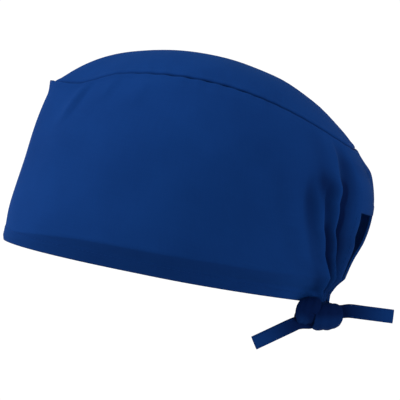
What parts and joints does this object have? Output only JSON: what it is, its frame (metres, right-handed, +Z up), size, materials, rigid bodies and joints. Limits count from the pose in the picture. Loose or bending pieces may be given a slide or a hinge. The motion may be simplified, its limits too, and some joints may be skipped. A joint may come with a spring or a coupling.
{
  "type": "tie-back scrub cap",
  "caption": "Blue cloth scrub cap: tall side band, domed oval crown, folds gathered to the nape, a slit at the back and narrow ties knotted below it.",
  "frame": {"origin": "middle of the head opening, where the cap sits on a head, 100 mm behind the forehead edge and 104.5 mm in front of the nape edge", "axes": "+Z up through the crown, -Y towards the wearer's front, +X towards the wearer's left; the head opening keeps the tilt it is worn with, higher at the forehead"},
  "size_m": [0.176, 0.2464, 0.1857],
  "materials": {
    "cap_cloth": "plain woven cotton and polyester, dyed royal blue, matt with a slight sheen",
    "tie_cloth": "the same cloth folded and stitched flat into narrow ties"
  },
  "bodies": {
    "root": {"side_band": "cap_cloth", "crown_panel": "cap_cloth", "tie_left": "tie_cloth", "tie_right": "tie_cloth"}
  },
  "joints": []
}
